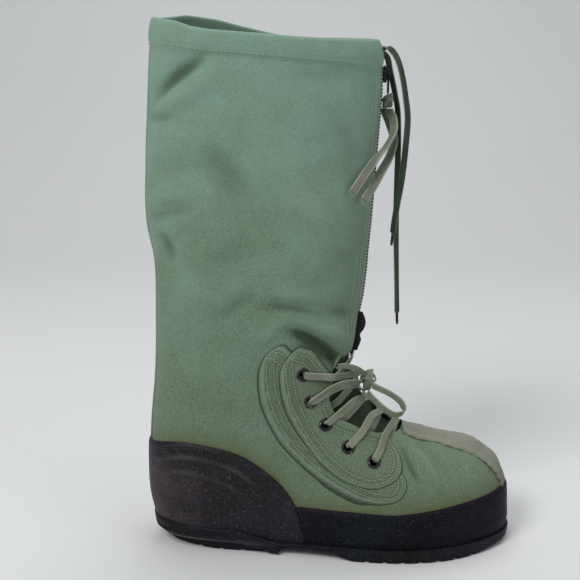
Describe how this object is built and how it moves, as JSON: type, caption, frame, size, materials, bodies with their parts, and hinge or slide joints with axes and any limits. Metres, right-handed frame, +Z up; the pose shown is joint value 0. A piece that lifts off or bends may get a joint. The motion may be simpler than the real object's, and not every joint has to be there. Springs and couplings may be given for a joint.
{
  "type": "mukluk",
  "caption": "Tall right-foot canvas mukluk boot with a rubber bottom, laced instep, front zip and a drawcord at the collar.",
  "frame": {"origin": "on the floor, at the middle of the heel's flat spot", "axes": "+X to the toe, +Y to the inner side of the leg, +Z up"},
  "size_m": [0.3153, 0.1136, 0.4381],
  "materials": {
    "canvas": "matt",
    "stay_canvas": "matt",
    "khaki_tape": "matt",
    "cord": "matt",
    "zip_tape": "matt",
    "black_metal": "satin",
    "rubber": "satin",
    "felt": "matt"
  },
  "bodies": {
    "root": {"upper": "canvas", "back_seam": "canvas", "tongue": "canvas", "insole": "felt", "outsole": "rubber", "heel_counter": "rubber", "foxing": "rubber", "toe_tape": "khaki_tape", "patch_outer": "stay_canvas", "patch_inner": "stay_canvas", "eyestay_outer": "stay_canvas", "eyestay_inner": "stay_canvas", "eyelet_outer_1": "black_metal", "eyelet_outer_2": "black_metal", "eyelet_outer_3": "black_metal", "eyelet_outer_4": "black_metal", "eyelet_outer_5": "black_metal", "eyelet_inner_1": "black_metal", "eyelet_inner_2": "black_metal", "eyelet_inner_3": "black_metal", "eyelet_inner_4": "black_metal", "eyelet_inner_5": "black_metal", "lace_crossing_1": "khaki_tape", "lace_crossing_2": "khaki_tape", "lace_crossing_3": "khaki_tape", "lace_crossing_4": "khaki_tape", "lace_crossing_5": "khaki_tape", "zip": "zip_tape", "zip_slider": "black_metal", "zip_fold": "zip_tape", "pull_tail_1": "khaki_tape", "pull_tail_2": "khaki_tape", "bow_knot": "khaki_tape", "bow_loop": "khaki_tape", "bow_end": "khaki_tape", "bow_tip": "khaki_tape", "drawcord_outer": "cord", "drawcord_inner": "cord", "aglet_outer": "cord", "aglet_inner": "cord"},
    "zip_pull": {"zip_pull": "black_metal", "pull_knot": "khaki_tape"}
  },
  "joints": [
    {"name": "pull_swing", "type": "hinge", "parent": "root", "child": "zip_pull", "pos_m": [0.13223, 0, 0.399], "axis": [0, -1, 0], "range_deg": [0, 150]}
  ]
}
